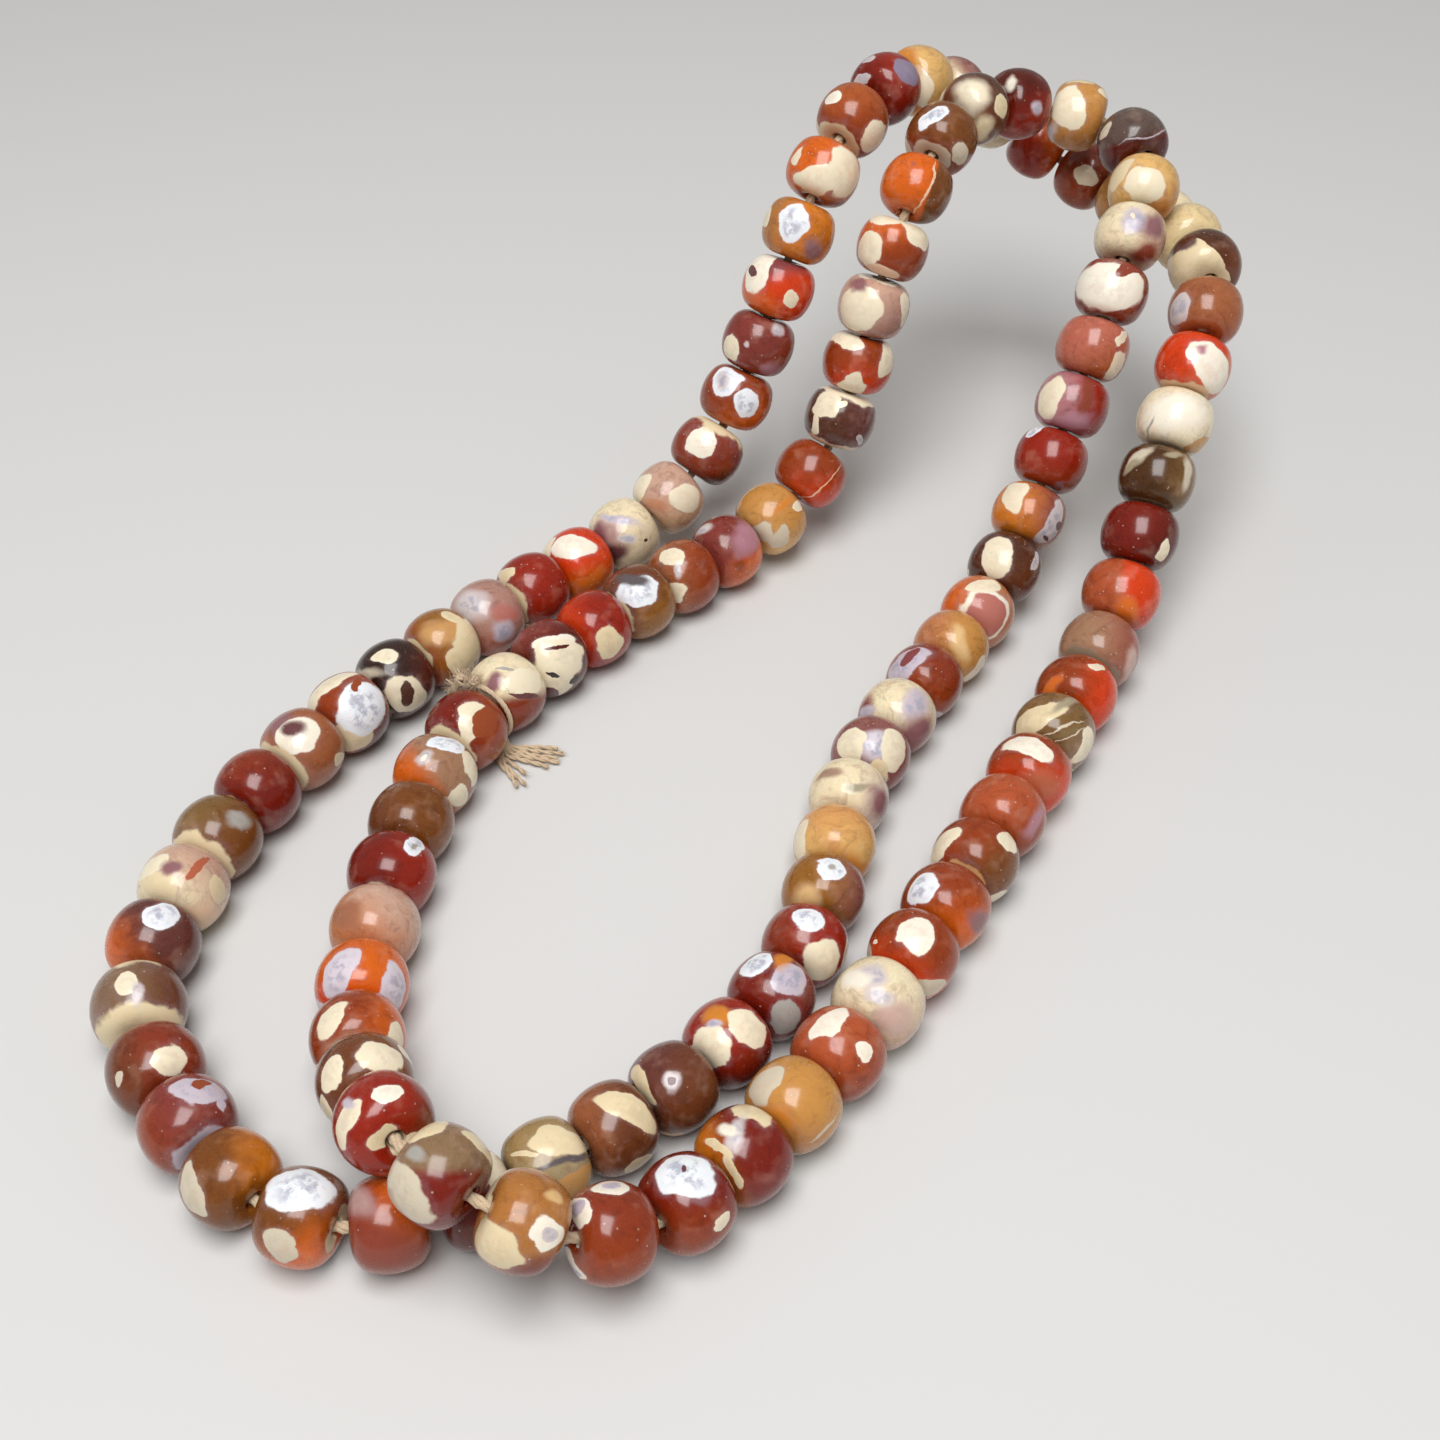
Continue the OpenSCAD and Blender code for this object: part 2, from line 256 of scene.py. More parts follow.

# %% Chart of the beads, in the order of the string
# Two soft pale marks are painted highlights, the polish's gleam put into the colour: ~dove 0 .25 .12 .3 0
# on bead 5 and ~dove -.15 .4 .14 .45 -25 on bead 53, counting from 0.
CHART = """
brick ember 25 .05 .9 | ~heather -.72 .46 .26 .3 0 | ~brick .1 -.75 .9 .4 0
umber ember -60 .3 .9 | milk -.05 .58 .66 .4 -5 | bone -.36 -.58 .38 .24 -33 | cream .66 -.5 .22 .13 50
umber amber 10 .3 .9 | bone -.72 -.33 .55 .18 -58
wine rust 215 .5 1 | lilac .17 .68 .5 .24 -14 | rust .25 .76 .2 .09 -10 | lilac .6 .32 .05 .2 12 \
  | lilac last .62
brick brown 200 .3 .8 | ivory .29 .22 .34 .33 20 | bone -.64 -.19 .1 .12 0
smoke brown 5 .2 .9 | ivory -.27 .52 .27 .23 15 | cream next .85 | cream last .84 | ~dove 0 .25 .12 .3 0
plum ember 215 .4 .9 | milk .17 .65 .37 .27 -5
ivory blush 60 .2 .8 | cream -.59 .09 .38 .27 0 | ivory -.74 .48 .45 .13 50 | coral .3 .45 .38 .1 45 \
  | ~mauve -.3 .52 .25 .14 20 | cream .74 0 .2 .3 0 | ~shell .4 -.6 .45 .28 0
umber olive 130 .3 .8 | ~fog .44 .44 .26 .18 -25 | cream last .74
oxblood brick 100 .5 1 | peach last .45
clay | ~mauve -.6 .65 .35 .2 45 | white -.18 .33 .52 .46 30 | ~plum -.26 .53 .25 .16 0 | cream last .72 \
  | cream .88 -.2 .1 .17 -10
rust maroon -35 .75 3 | cream .12 -.58 .55 .42 20 | milk .38 .1 .6 .62 0 | ivory -.5 .7 .75 .15 38 \
  | rust .22 .62 .1 .14 0
ink maroon -10 .45 1 | ivory -.25 .56 .31 .16 12 | ~bone -.75 .1 .28 .16 10 | ivory .3 -.42 .52 .48 0 \
  | chocolate .32 -.36 .19 .34 -5 | peach next .5
bronze rust 215 .3 .8 | ~tan -.05 .4 .5 .3 20 | cream next .78 | cream .5 -.32 .36 .42 -15 \
  | cream .3 .72 .27 .13 -20 | cream last .62 | cream .8 .25 .3 .55 20
heather rose -80 .55 1.2 | ~dove -.45 .35 .4 .4 0 | ~rose .5 .1 .3 .22 0 | ~lilac .42 -.35 .3 .25 0 \
  | cream next .52 | peach last .4
cherry brick 200 .4 1 | cream last .66 | cream -.72 .38 .2 .16 0
scarlet ember -70 .3 1.5 | white -.15 .5 .57 .36 5 | ivory -.85 .4 .16 .38 -20 | ~ember .35 -.42 .5 .14 25 \
  | shell next .5
ivory bone -30 .5 .8 | ~heather -.5 -.05 .35 .4 0 | ~mauve -.66 0 .2 .24 0 | ~plum -.3 -.55 .4 .25 20 \
  | ~lilac -.2 .38 .5 .12 -10 | ink .56 -.18 .05 .035 30 | ~dove .1 -.1 .25 .12 0
blush shell -75 .45 .8 | ivory .52 -.03 .36 .42 10 | ivory -.82 .23 .18 .42 -20 | ~salmon -.25 -.2 .3 .2 0
brick chocolate -80 .75 2 | white -.16 .21 .4 .48 -15 | cream next .84
rust ember -70 .5 1 | milk -.32 .43 .42 .4 0 | ~dove -.38 .45 .2 .2 0 | milk .33 -.2 .36 .36 0
wine rust -60 .6 1 | ivory -.77 -.11 .2 .35 5 | ~dove .55 .37 .17 .14 -45 | ~dove -.26 -.04 .07 .11 0 \
  | ~orchid .36 -.8 .3 .15 20
scarlet ember 215 .4 1 | ~wine .1 .75 .7 .3 0 | white -.6 .5 .58 .3 60 | plum -.7 .47 .18 .12 60 \
  | ivory .37 -.3 .2 .23 0
amber caramel 160 .4 .9 | milk -.17 .23 .5 .37 80 | ~mauve .44 -.5 .26 .28 0 | ivory -.88 .4 .3 .09 65
ember salmon -60 .2 .9 | ivory -.2 -.22 .62 .38 0 | ivory .65 -.02 .42 .65 0 | ~wine .5 -.82 .35 .14 10 \
  | ivory -.7 .45 .32 .1 60
rust sienna 90 .3 .8 | white -.55 .6 .26 .14 40 | cream last .62 | ivory .62 -.43 .43 .28 60
oxblood cherry 30 .3 .8 | violet .62 .5 .38 .22 -50 | dove -.48 .8 .18 .09 35 | dove -.67 .26 .2 .1 10
honey | ivory .12 -.16 .62 .24 -80 | ~amber -.5 .6 .4 .3 0
ivory mauve 50 .55 1.5
ivory
cherry ember 0 .3 1
rust brick 90 0 1 | ivory 0 0 .4 .3 0
tan umber -60 0 1
blush ivory 20 0 1
cream bone -50 .6 1
chocolate brown -30 .3 1 | cream -.66 -.56 .95 .75 20
clay sienna -90 .3 1.2 | dove -.72 .08 .26 .48 -12
scarlet ember -60 .3 1 | white .56 -.05 .7 .42 -68 | white .1 .35 .25 .22 30 | ~orchid .25 .42 .13 .13 0 \
  | shell next .66
ivory | ~white 0 .3 .8 .5 0 | ~fog -.6 -.15 .03 .25 -10 | tan .62 -.6 .38 .16 25
peat olive 0 .5 1 | ~bone -.5 .55 .4 .1 35 | ~greige -.62 .35 .3 .08 40 | ~bone .78 .12 .1 .4 0 \
  | ~greige .4 .6 .25 .07 0
oxblood maroon -30 .3 .8 | ivory .58 -.35 .25 .13 62 | shell last .55
coral scarlet 0 .08 3 | ~ember .1 -.5 .3 .35 0
fawn rosewood 0 .4 .8 | ~blush .8 -.33 .33 .13 75 | taupe next .72
rust scarlet -20 .2 1 | ~ember -.55 .15 .42 .12 65 | ivory .5 .7 .17 .08 -20
olive taupe -60 .2 1 | cream -.42 .35 .78 .28 38 | ~greige .3 .74 .35 .1 20 | ivory .75 -.32 .5 .16 60 \
  | ~olive .2 0 .6 .05 18 | bone .3 .15 .6 .02 22 | bone .35 -.05 .55 .015 22
scarlet rust 90 .2 1 | white .03 .68 .63 .22 -15 | white .42 .5 .25 .12 -25 | ~coral .3 -.25 .5 .35 0
coral rust -70 .3 1 | ~orchid .72 -.15 .35 .15 60
rust umber -60 0 1 | ivory -.75 .35 .5 .18 55 | ivory .77 .43 .27 .13 -55 | peach next .62
rust ember -80 .1 1 | milk -.52 .42 .46 .28 50 | ~mauve .75 -.4 .3 .25 60
rust scarlet -120 .2 1 | white .04 .44 .38 .38 0 | bone .38 -.7 .32 .2 12 | white -.79 .2 .05 .06 0
ivory blush -60 .6 .8 | ~dove -.15 .6 .35 .25 0 | ~blush .28 -.3 .38 .32 0 | ~white -.5 .5 .25 .2 0 \
  | ~dove 0 .15 .3 .2 0
coral rust -60 .4 .8 | white -.25 .65 .5 .22 38 | white .52 .02 .16 .2 0
tan caramel -110 .5 .8 | bone -.63 .42 .45 .24 58 | ~amber -.45 -.35 .4 .3 0 | ~bone .6 -.52 .35 .03 35
oxblood amber 200 .4 1.2 | cream .22 .86 .45 .16 -22 | ~dove -.15 .4 .14 .45 -25 \
  | ~white -.3 .5 .22 .14 10 | cream -.5 .12 .3 .1 -25 | cream -.22 -.3 .42 .1 -62
oxblood rust -90 .2 .9 | ~mauve .15 .2 .25 .2 0 | milk -.06 .57 .56 .42 5 | plum -.05 .6 .07 .06 0 \
  | ivory .68 -.32 .19 .11 50
brick rust -90 0 .8 | white .03 .88 .36 .14 0 | lilac .02 .9 .16 .06 0 | white -.6 .41 .31 .2 -70 \
  | lilac -.61 .5 .13 .13 0
caramel oxblood -75 .72 2.5 | white .45 -.23 .3 .33 0 | dove .46 -.24 .14 .17 0 \
  | cream -.57 -.48 .55 .31 -52 | ~honey .53 .44 .16 .1 0
taupe oxblood -90 -.08 4 | cream -.27 .86 .43 .14 28 | cream .75 .55 .42 .13 -52 \
  | bone -.72 -.36 .62 .3 -62 | ~fog -.49 .35 .16 .13 0
cherry brown -20 .6 1 | white .05 .56 .27 .18 5 | ivory -.73 .02 .47 .18 70 | ~lilac -.7 .42 .12 .12 0 \
  | cream -.02 -.3 .3 .2 38
brown umber 30 .2 .8 | ivory -.67 .2 .35 .17 65 | ivory .27 .53 .44 .28 -15 | ivory .82 .55 .26 .1 -50 \
  | ivory -.74 -.55 .35 .09 -60
rust ember -10 .3 .9 | ivory -.57 .36 .45 .22 55 | ivory .74 .06 .17 .31 -5 | ~shell last .6
ember scarlet -95 .1 1.2 | opal -.5 .32 .55 .3 62 | opal .69 -.06 .28 .55 -6 | shell last .55
salmon blush 45 .1 .8 | ~clay -.6 .3 .3 .3 0
oxblood cherry 0 .2 .9 | milk .53 .61 .2 .2 0 | fog .55 .6 .07 .07 0 | cream last .6
umber brown 200 .3 .8 | peach last .42
fawn ember 215 .15 1.4 | milk .31 .77 .46 .14 -12 | ~dove -.26 .4 .18 .17 0 | white -.26 .4 .08 .08 0 \
  | ivory .88 .2 .46 .11 -72 | ivory .58 -.48 .26 .2 60
oxblood rust 0 .15 1 | ivory .08 .26 .5 .33 75 | rust .46 .2 .3 .36 -20 | cream last .66
ivory brick -80 .15 3 | ~mauve -.3 .2 .2 .3 0 | fog -.05 .6 .26 .04 5 | ivory .47 .3 .45 .4 0 \
  | plum .5 -.12 .36 .06 5 | ivory -.25 -.42 .25 .1 -50
maroon wine 130 .5 1 | white .15 .5 .55 .2 12 | ivory .32 -.05 .62 .6 0 | ivory .1 -.6 .62 .42 0 \
  | maroon .2 .3 .32 .06 12 | ink .1 -.42 .2 .05 -5 | ink .7 -.5 .17 .05 45 | plum .02 -.87 .24 .12 0
cherry scarlet 190 .3 1 | cream .4 -.42 .4 .4 0 | cream next .48 | shell last .5
brown bronze -40 .3 .8 | milk -.04 .33 .58 .4 10 | ~slate -.2 .62 .35 .14 0 | cream last .62
clay rust 10 .1 .9 | ivory -.32 .55 .38 .28 15 | ~dove -.13 .17 .1 .2 0 | ivory -.16 -.42 .27 .28 0 \
  | shell next .55
wine ember -35 .5 1 | ~orchid .6 .4 .3 .45 0 | ~dove -.6 .6 .2 .12 30 | ~rust .37 -.42 .12 .12 0
tan honey -100 .4 .9 | bone -.2 -.35 .28 .3 -40 | bone .2 -.55 .36 .17 45 | ivory .71 .35 .14 .1 -50 \
  | ~amber .35 .4 .32 .1 40 | cream next .3
rust scarlet -90 .3 .8 | shell .38 -.35 .8 .02 39
chocolate plum 0 .3 .8 | ivory -.38 .38 .42 .38 20 | ivory -.68 -.15 .1 .26 0 | ivory .1 .33 .13 .11 0 \
  | ivory last .8 | ivory next .8 | dove .55 -.63 .12 .08 60
rust scarlet -90 .3 .8 | ivory -.35 .65 .45 .22 -10 | ivory .86 .1 .2 .5 0 | ivory -.15 -.62 .35 .28 0 \
  | shell last .48
blush heather -60 .2 .8 | ivory -.45 -.05 .56 .6 0 | ivory next .62 | ~mauve -.42 .58 .2 .2 0 \
  | ivory .88 -.1 .12 .45 0
rust ember 100 .3 .8 | ivory -.7 0 .31 .5 0 | ivory -.2 .83 .5 .17 0 | ivory .7 .42 .5 .22 -52 \
  | shell -.27 -.62 .5 .13 -18
ember umber -18 .35 7 | shell .36 .05 .75 .03 68 | ~coral -.19 .64 .08 .08 0
umber rust -120 .3 .8 | milk -.26 .66 .48 .2 28 | bone .47 -.4 .25 .3 -10 | bone last .55
brown chocolate 60 .4 .8 | ~ivory -.06 .48 .46 .4 0 | ~cream .32 -.52 .22 .35 0 | cream .8 .1 .16 .35 0
maroon cherry -60 .2 .8 | ~white -.23 .55 .19 .19 0 | ~lilac .53 -.12 .16 .2 0
tan caramel -60 .3 .8 | ivory -.25 .25 .5 .6 0 | cream .02 .95 .4 .07 0 | ivory .7 .6 .2 .1 -50 \
  | ~dove -.72 -.5 .13 .25 0
slate maroon -75 -.1 5 | ~lilac .4 .2 .6 .03 14 | bone -.8 .35 .27 .09 65
honey amber -60 .6 .8 | ivory .03 .11 .5 .52 0 | cream -.7 .45 .55 .2 60
ivory blush -20 .4 .8 | ~lilac .08 .5 .3 .3 0 | ~mauve .64 .33 .3 .3 0 | ~brick .42 -.42 .4 .24 30 \
  | ivory 0 .6 .06 .06 0
brick rust -90 .3 .8 | white -.1 .22 .92 .66 0 | brick .43 .66 .33 .17 0 | blush next .5
rose sienna -70 .3 .8 | ivory .77 .35 .17 .12 60 | ivory .7 -.46 .42 .17 62
orchid cherry 0 .25 1 | ivory -.63 .2 .62 .3 75 | ~brick .38 .3 .15 .6 0 | ~orchid 0 -.45 .5 .2 0
cherry rust -90 .4 .8 | milk -.42 .8 .26 .1 20 | ~mauve .23 -.6 .12 .1 60
amber rosewood 5 .25 .9 | ivory -.4 .55 .42 .33 70 | dove .66 -.23 .65 .22 60 | plum .83 -.23 .1 .07 60 \
  | plum .5 -.55 .06 .08 0
chocolate brown -60 .3 .8 | ivory -.2 .28 .45 .5 0 | dove .85 .16 .2 .11 80 | ivory -.97 -.1 .15 .1 60
salmon ember 170 .3 .8 | white .25 -.05 .66 .7 0 | rose .25 -.07 .55 .6 0 | ivory .18 .75 .42 .17 0
tan salmon 170 .2 .8 | ~honey .25 .1 .2 .5 15 | ivory .7 -.6 .4 .1 45
rust brick 60 .3 .8 | lilac -.5 .45 .62 .26 42 | wine -.38 .62 .3 .12 42
ivory blush -60 .5 .8 | ~lilac .5 .37 .32 .42 -30 | ~mauve .55 -.35 .4 .35 0 | ~wine .3 -.78 .42 .24 0 \
  | ~lilac -.75 .1 .2 .15 0
mauve wine -60 .5 .8 | ~opal .1 .25 .35 .35 0 | ivory -.5 .3 .32 .38 0 | ivory .6 .14 .3 .52 0 \
  | cream .2 -.43 .28 .36 0
ivory dove -30 .5 .8 | ~fawn -.5 .6 .3 .12 20 | ~greige .2 .25 .3 .1 0 | ~mauve .85 -.2 .25 .4 0
honey peach 90 .3 .8 | ~amber .6 -.7 .4 .3 0 | ivory -.85 .1 .15 .5 0
bronze mauve 0 .5 .8 | milk .22 .62 .34 .26 0 | ~fog .22 .64 .1 .08 0 | ~honey -.35 -.15 .3 .35 0
cherry brick 180 .3 .8 | milk .1 .6 .41 .24 0 | ivory .4 -.33 .44 .48 0 | ivory .97 -.1 .3 .06 80
oxblood wine 0 .2 .8 | milk -.35 .72 .42 .2 35 | lilac .42 .37 .4 .33 -20 | fog .3 -.5 .35 .37 0 \
  | ~amber .3 .8 .2 .12 0
cherry maroon -60 .5 .8 | ~amber -.2 .63 .32 .22 0 | ivory -.4 -.07 .43 .42 -30 | ivory .47 .38 .5 .3 -42 \
  | ~lilac -.3 .4 .15 .08 0
brown plum 150 .2 .8 | cream -.67 .04 .42 .15 -65 | ~dove 0 .12 .19 .19 0 | plum 0 .12 .1 .1 0 \
  | tan -.05 -.95 .26 .07 0
brown clay 180 .3 .8 | cream .37 .42 .68 .25 -32 | cream .56 -.77 .27 .13 30
greige khaki 130 .4 1.2 | cream .19 .5 .58 .32 -12 | cream -.5 .24 .22 .07 5 | ~slate .3 .02 .6 .08 15 \
  | tan .52 -.46 .55 .2 35
cherry maroon -90 .2 .8 | ivory .55 .57 .55 .25 -60
"""
chart = CHART.strip().splitlines()
assert len(chart) == BEADS
print("chart:", sum(line.count("|") for line in chart), "marks on", len(chart), "beads")

# %% [markdown]
# ## From the chart to the stone
#
# A mark is an ellipse on the bead's skin. It is stored as two vectors: the dot product of each with a point
# of the bead, measured from its middle in radii, tells how far across and along the mark the point lies.
# The mark is where the two together are shorter than one. That needs no texture, has a crisp edge at any
# distance, and goes with the mesh wherever it is exported. The side that the camera does not see repeats
# the marks half a turn about the hole.

# %% Marks as vectors
SLOTS = 8
END_REACH = 0.9
LEAST_FORESHORTENING = 0.4
LEAST_FACING = 0.05
TINY = 1e-6
ASKEW = (0.31, 0.52, 0.8)
LIMB = 0.86
SOFT_EDGE = 0.45
CRISP_EDGE = 0.05
STONE_POWERS = (0.97, 1.06, 1.2)
MARK_POWERS = (0.95, 0.95, 0.98)


def unit(v):
    return v / np.linalg.norm(v)


def linear(name, powers):
    """A palette colour as scene-linear numbers, made deeper or lighter by a power for each channel."""
    channels = [int(PALETTE[name][k:k + 2], 16) / 255 for k in (0, 2, 4)]
    channels = [c / 12.92 if c <= 0.04045 else ((c + 0.055) / 1.055) ** 2.4 for c in channels]
    return [c ** power for c, power in zip(channels, powers)]


def view_of(bead):
    """Right, up and towards the camera at a bead."""
    toward = unit(np.array(EYE) / MM - middles[bead])
    right = unit(np.array([1.0, 0, 0]) - toward[0] * toward)
    return right, np.cross(toward, right), toward


def seen_mark(bead, x, y, wide, high, turn):
    """The two vectors of a mark that is seen at x, y on a bead."""
    right, up, toward = view_of(bead)
    axis = axes[bead]
    stretch = 1 / END_REACH ** 2 - 1
    across = x * right + y * up
    a = 1 + stretch * (toward @ axis) ** 2
    b = 2 * stretch * (across @ axis) * (toward @ axis)
    c = across @ across + stretch * (across @ axis) ** 2 - 1
    middle = across + toward * (math.sqrt(max(b * b - 4 * a * c, 0)) - b) / (2 * a)
    normal = unit(middle + stretch * (middle @ axis) * axis)
    facing = max(normal @ toward, LEAST_FACING)
    slope = toward - facing * normal
    slope = slope / max(np.linalg.norm(slope), TINY)
    turn = math.radians(turn)
    along = (math.cos(turn) * right + math.sin(turn) * up) / wide
    over = (math.cos(turn) * up - math.sin(turn) * right) / high
    vectors = []
    for measure in (along, over):
        measure = measure - (measure @ normal) * normal
        measure = measure + slope * (measure @ slope) * (max(facing, LEAST_FORESHORTENING) / facing - 1)
        vectors.append(measure - normal * (measure @ middle) / (normal @ middle))
    return vectors


def end_mark(bead, end, radius):
    """The two vectors of a round mark about the hole at one end of a bead."""
    pole = axes[bead] if end == "next" else -axes[bead]
    side = unit(np.cross(pole, ASKEW))
    return [side / radius, np.cross(pole, side) / radius]


def far_side(bead, vectors):
    """The same mark half a turn about the hole."""
    axis = axes[bead]
    return [2 * (v @ axis) * axis - v for v in vectors]


def read_mark(bead, text):
    """The vectors of a mark, its tone and edge, and its far copy. A clouded tone adds 1 to the edge."""
    words = text.split()
    tone = words[0].lstrip("~")
    edge = SOFT_EDGE if words[0].startswith("~") else CRISP_EDGE
    look = (linear(tone, MARK_POWERS), edge + (tone in CLOUDED))
    if words[1] in ("next", "last"):
        return end_mark(bead, words[1], float(words[2])), look, None
    x, y, wide, high, turn = (float(w) for w in words[1:])
    hidden = math.hypot(x, y) < LIMB
    vectors = seen_mark(bead, x, y, wide, high, turn)
    return vectors, look, far_side(bead, vectors) if hidden else None


def read_bead(bead):
    """The stone and the marks of one bead, as the named values that its points will carry."""
    stone, *marks = [part.strip() for part in chart[bead].split("|")]
    words = stone.split()
    if len(words) == 1:
        words += [words[0], "0", "0", "1"]
    right, up, _ = view_of(bead)
    # The second stone is partly the agate's own dye and partly a painted glow of light seen through the
    # stone.
    turn, at, sharp = (float(w) for w in words[2:])
    way = math.cos(math.radians(turn)) * right + math.sin(math.radians(turn)) * up
    values = {"stone": linear(words[0], STONE_POWERS), "second": linear(words[1], STONE_POWERS),
              "way": way * sharp, "way_at": 0.5 - at * sharp}
    read = [read_mark(bead, text) for text in marks]
    spare = SLOTS - len(read)
    copies = [(hidden, look) for _, look, hidden in read if hidden is not None][:spare]
    painted = copies + [(vectors, look) for vectors, look, _ in read]
    blank = ([np.zeros(3), np.zeros(3)], ([0, 0, 0], CRISP_EDGE))
    for slot in range(SLOTS):
        (along, over), (tone, edge) = painted[slot] if slot < len(painted) else blank
        values.update({f"along_{slot}": along, f"over_{slot}": over})
        values.update({f"tone_{slot}": tone, f"edge_{slot}": edge})
    return values


stones = [read_bead(bead) for bead in range(BEADS)]
print("values on each bead:", len(stones[0]))

# %% [markdown]
# ## Joining the beads into strings
#
# Six beads at a time become one mesh, so that the export's pictures stay sharp enough for every bead. The
# pattern bead is added once for each, placed, and dented. What the chart says is then written on the points
# as attributes.

# %% Beads in their places
GROUP = 6


def bead_place(bead):
    turn = Vector(axes[bead]).to_track_quat("Z", "X").to_matrix().to_4x4()
    return Matrix.Translation(Vector(middles[bead])) @ turn @ Matrix.Scale(sizes[bead], 4)


def dented(point, bead):
    """A point of the pattern bead, moved a little inwards as the grinding left it."""
    depth = 0.5 + noise.noise(Vector(point) / (BEAD_D / 2) * UNEVEN_SCALE + NOISE_STEP * bead)
    return point * (1 - UNEVEN * min(max(depth, 0), 1))


def bead_group(name, beads):
    """One mesh of several beads, in metres, with the chart's values on its points."""
    group = bmesh.new()
    for bead in beads:
        before = len(group.verts)
        group.from_mesh(pattern)
        group.verts.ensure_lookup_table()
        place = bead_place(bead)
        for vert in group.verts[before:]:
            vert.co = place @ dented(vert.co, bead)
    mesh = bpy.data.meshes.new(name)
    group.to_mesh(mesh)
    group.free()
    mesh.shade_smooth()
    points = np.empty(len(mesh.vertices) * 3)
    mesh.vertices.foreach_get("co", points)
    points = points.reshape(len(beads), BEAD_POINTS, 3)
    radii = BEAD_D / 2 * sizes[list(beads)]
    local = (points - middles[list(beads)][:, None]) / radii[:, None, None]
    write(mesh, "local", local.reshape(-1, 3))
    for key in stones[0]:
        values = np.array([stones[bead][key] for bead in beads], float)
        write(mesh, key, np.repeat(values, BEAD_POINTS, axis=0))
    mesh.transform(Matrix.Scale(MM, 4))
    piece = bpy.data.objects.new(name, mesh)
    scene.collection.objects.link(piece)
    return piece


def write(mesh, name, values):
    """Puts one value or vector on every point of a mesh."""
    kind, field = ("FLOAT_VECTOR", "vector") if values.ndim == 2 else ("FLOAT", "value")
    mesh.attributes.new(name, kind, "POINT").data.foreach_set(field, values.ravel())


turns = {"beads_first_turn": range(0, FIRST_TURN), "beads_second_turn": range(FIRST_TURN, BEADS)}
bead_pieces = []
for node, beads in turns.items():
    for first in range(beads.start, beads.stop, GROUP):
        group = range(first, min(first + GROUP, beads.stop))
        piece = bead_group(f"agate_beads_{group.start + 1:03d}_{group.stop:03d}", group)
        bead_pieces.append((piece, node))
print("bead pieces:", len(bead_pieces), "with", sum(len(p.data.polygons) for p, _ in bead_pieces), "faces")

# %% [markdown]
# ## Writing materials as sums
#
# A material is a graph of nodes, and long graphs are hard to read as calls. Here a small class stands for
# one socket, and Python's own signs add the Math nodes, so that a pattern reads like the formula that it
# is.

# %% Shader sums
class Socket:
    """One output of a shader node."""

    def __init__(self, graph, output):
        self.graph = graph
        self.output = output

    def maths(self, operation, *values):
        return self.graph.node("ShaderNodeMath", values, operation=operation)

    def __add__(self, other):
        return self.maths("ADD", self, other)

    def __sub__(self, other):
        return self.maths("SUBTRACT", self, other)

    def __rsub__(self, other):
        return self.maths("SUBTRACT", other, self)

    def __mul__(self, other):
        return self.maths("MULTIPLY", self, other)

    __radd__ = __add__
    __rmul__ = __mul__

    def largest(self, other):
        return self.maths("MAXIMUM", self, other)

    def over(self, limit):
        return self.maths("GREATER_THAN", self, limit)

    def smooth(self, low, high):
        """0 below low, 1 above high, and a smooth step between them."""
        return self.graph.node("ShaderNodeMapRange", {"Value": self, "From Min": low, "From Max": high},
                               interpolation_type="SMOOTHSTEP")

    def vector(self, operation, *values, output="Vector"):
        return self.graph.node("ShaderNodeVectorMath", (self,) + values, output=output, operation=operation)

    def dot(self, other):
        return self.vector("DOT_PRODUCT", other, output="Value")

    def shifted(self, other):
        return self.vector("ADD", other)

    def scaled(self, factor):
        return self.graph.node("ShaderNodeVectorMath", {0: self, "Scale": factor}, operation="SCALE")


class Graph:
    """The node tree of one material."""

    def __init__(self, name):
        self.material = bpy.data.materials.new(name)
        self.material.use_nodes = True
        self.tree = self.material.node_tree
        self.shader = self.tree.nodes["Principled BSDF"]

    def put(self, socket, value):
        if isinstance(value, Socket):
            self.tree.links.new(value.output, socket)
        else:
            socket.default_value = value

    def node(self, kind, values=(), output=0, **settings):
        """Adds a node, sets what it is, then fills its sockets, and gives one of its outputs."""
        made = self.tree.nodes.new(kind)
        for key, setting in settings.items():
            setattr(made, key, setting)
        pairs = values.items() if isinstance(values, dict) else enumerate(values)
        for key, value in pairs:
            self.put(made.inputs[key], value)
        return Socket(self, made.outputs[output])

    def attribute(self, name, output="Vector"):
        return self.node("ShaderNodeAttribute", output=output, attribute_name=name)

    def mix(self, factor, first, second, blend="MIX"):
        values = {0: factor, 6: first, 7: second}
        return self.node("ShaderNodeMix", values, output=2, data_type="RGBA", blend_type=blend)

    def noise(self, place, scale, detail=2.0, roughness=0.5, output="Fac"):
        values = {"Vector": place, "Scale": scale, "Detail": detail, "Roughness": roughness}
        return self.node("ShaderNodeTexNoise", values, output=output)

    def bump(self, height, strength, distance):
        values = {"Strength": strength, "Distance": distance, "Height": height}
        return self.node("ShaderNodeBump", values, output="Normal")

    def set(self, **values):
        """Fills the shader's own sockets; spaces in their names are written as _."""
        for key, value in values.items():
            self.put(self.shader.inputs[key.replace("_", " ")], value)
